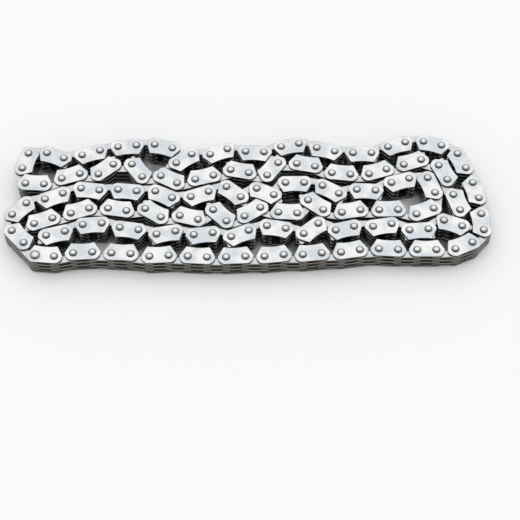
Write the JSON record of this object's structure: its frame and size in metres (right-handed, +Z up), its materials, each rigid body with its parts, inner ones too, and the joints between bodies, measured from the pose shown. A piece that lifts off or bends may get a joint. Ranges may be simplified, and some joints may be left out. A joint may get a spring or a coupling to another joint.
{
  "type": "silent chain",
  "caption": "Endless inverted-tooth chain lying on its side in folded runs: toothed blades laced on riveted pins between thin guide plates, to run over timing sprockets.",
  "frame": {"origin": "middle of the lay, on the surface it lies on", "axes": "+X along the runs, +Y towards the back run, +Z up along the pins"},
  "size_m": [0.1636, 0.0518, 0.0079],
  "materials": {
    "guide_plate_steel": "tumbled and polished",
    "blade_steel": "hardened, tumbled",
    "pin_steel": "hardened and polished, riveted heads"
  },
  "bodies": {
    "bundle": {"back_run_guide_plates": "guide_plate_steel", "back_run_guide_blades": "blade_steel", "back_run_inner_blades": "blade_steel", "back_run_pins": "pin_steel", "front_run_guide_plates": "guide_plate_steel", "front_run_guide_blades": "blade_steel", "front_run_inner_blades": "blade_steel", "front_run_pins": "pin_steel", "third_run_guide_plates": "guide_plate_steel", "third_run_guide_blades": "blade_steel", "third_run_inner_blades": "blade_steel", "third_run_pins": "pin_steel", "fourth_run_guide_plates": "guide_plate_steel", "fourth_run_guide_blades": "blade_steel", "fourth_run_inner_blades": "blade_steel", "fourth_run_pins": "pin_steel", "fifth_run_guide_plates": "guide_plate_steel", "fifth_run_guide_blades": "blade_steel", "fifth_run_inner_blades": "blade_steel", "fifth_run_pins": "pin_steel", "second_run_guide_plates": "guide_plate_steel", "second_run_guide_blades": "blade_steel", "second_run_inner_blades": "blade_steel", "second_run_pins": "pin_steel"},
    "inner_link_1": {"inner_link_1_blades": "blade_steel"},
    "guide_link_1": {"guide_link_1_plates": "guide_plate_steel", "guide_link_1_blades": "blade_steel", "guide_link_1_pins": "pin_steel"},
    "inner_link_2": {"inner_link_2_blades": "blade_steel"},
    "guide_link_2": {"guide_link_2_plates": "guide_plate_steel", "guide_link_2_blades": "blade_steel", "guide_link_2_pins": "pin_steel"},
    "inner_link_3": {"inner_link_3_blades": "blade_steel"},
    "guide_link_3": {"guide_link_3_plates": "guide_plate_steel", "guide_link_3_blades": "blade_steel", "guide_link_3_pins": "pin_steel"},
    "inner_link_4": {"inner_link_4_blades": "blade_steel"},
    "guide_link_4": {"guide_link_4_plates": "guide_plate_steel", "guide_link_4_blades": "blade_steel", "guide_link_4_pins": "pin_steel"},
    "inner_link_5": {"inner_link_5_blades": "blade_steel"},
    "guide_link_5": {"guide_link_5_plates": "guide_plate_steel", "guide_link_5_blades": "blade_steel", "guide_link_5_pins": "pin_steel"},
    "inner_link_6": {"inner_link_6_blades": "blade_steel"},
    "guide_link_6": {"guide_link_6_plates": "guide_plate_steel", "guide_link_6_blades": "blade_steel", "guide_link_6_pins": "pin_steel"},
    "inner_link_7": {"inner_link_7_blades": "blade_steel"},
    "guide_link_7": {"guide_link_7_plates": "guide_plate_steel", "guide_link_7_blades": "blade_steel", "guide_link_7_pins": "pin_steel"},
    "inner_link_8": {"inner_link_8_blades": "blade_steel"},
    "guide_link_8": {"guide_link_8_plates": "guide_plate_steel", "guide_link_8_blades": "blade_steel", "guide_link_8_pins": "pin_steel", "closing_pin": "pin_steel"}
  },
  "joints": [
    {"name": "inner_link_1_turn", "type": "hinge", "parent": "bundle", "child": "inner_link_1", "pos_m": [0.03111, -0.02131, 0.00397], "axis": [0, 0, 1], "range_deg": [0, 16]},
    {"name": "guide_link_1_turn", "type": "hinge", "parent": "inner_link_1", "child": "guide_link_1", "pos_m": [0.02477, -0.0216, 0.00397], "axis": [0, 0, 1], "range_deg": [0, 16]},
    {"name": "inner_link_2_turn", "type": "hinge", "parent": "guide_link_1", "child": "inner_link_2", "pos_m": [0.01845, -0.02225, 0.00397], "axis": [0, 0, 1], "range_deg": [0, 16]},
    {"name": "guide_link_2_turn", "type": "hinge", "parent": "inner_link_2", "child": "guide_link_2", "pos_m": [0.0121, -0.02222, 0.00397], "axis": [0, 0, 1], "range_deg": [0, 16]},
    {"name": "inner_link_3_turn", "type": "hinge", "parent": "guide_link_2", "child": "inner_link_3", "pos_m": [0.00579, -0.02288, 0.00397], "axis": [0, 0, 1], "range_deg": [0, 16]},
    {"name": "guide_link_3_turn", "type": "hinge", "parent": "inner_link_3", "child": "guide_link_3", "pos_m": [-0.00056, -0.02285, 0.00397], "axis": [0, 0, 1], "range_deg": [0, 16]},
    {"name": "inner_link_4_turn", "type": "hinge", "parent": "guide_link_3", "child": "inner_link_4", "pos_m": [-0.00691, -0.02318, 0.00397], "axis": [0, 0, 1], "range_deg": [0, 16]},
    {"name": "guide_link_4_turn", "type": "hinge", "parent": "inner_link_4", "child": "guide_link_4", "pos_m": [-0.01326, -0.02317, 0.00397], "axis": [0, 0, 1], "range_deg": [0, 16]},
    {"name": "inner_link_5_turn", "type": "hinge", "parent": "guide_link_4", "child": "inner_link_5", "pos_m": [-0.0196, -0.02284, 0.00397], "axis": [0, 0, 1], "range_deg": [0, 16]},
    {"name": "guide_link_5_turn", "type": "hinge", "parent": "inner_link_5", "child": "guide_link_5", "pos_m": [-0.02594, -0.02253, 0.00397], "axis": [0, 0, 1], "range_deg": [0, 16]},
    {"name": "inner_link_6_turn", "type": "hinge", "parent": "guide_link_5", "child": "inner_link_6", "pos_m": [-0.03228, -0.02287, 0.00397], "axis": [0, 0, 1], "range_deg": [0, 16]},
    {"name": "guide_link_6_turn", "type": "hinge", "parent": "inner_link_6", "child": "guide_link_6", "pos_m": [-0.03855, -0.02188, 0.00397], "axis": [0, 0, 1], "range_deg": [0, 16]},
    {"name": "inner_link_7_turn", "type": "hinge", "parent": "guide_link_6", "child": "inner_link_7", "pos_m": [-0.0449, -0.02158, 0.00397], "axis": [0, 0, 1], "range_deg": [0, 16]},
    {"name": "guide_link_7_turn", "type": "hinge", "parent": "inner_link_7", "child": "guide_link_7", "pos_m": [-0.05124, -0.02126, 0.00397], "axis": [0, 0, 1], "range_deg": [0, 16]},
    {"name": "inner_link_8_turn", "type": "hinge", "parent": "guide_link_7", "child": "inner_link_8", "pos_m": [-0.05758, -0.02159, 0.00397], "axis": [0, 0, 1], "range_deg": [0, 16]},
    {"name": "guide_link_8_turn", "type": "hinge", "parent": "inner_link_8", "child": "guide_link_8", "pos_m": [-0.0638, -0.02285, 0.00397], "axis": [0, 0, 1], "range_deg": [0, 16]}
  ]
}
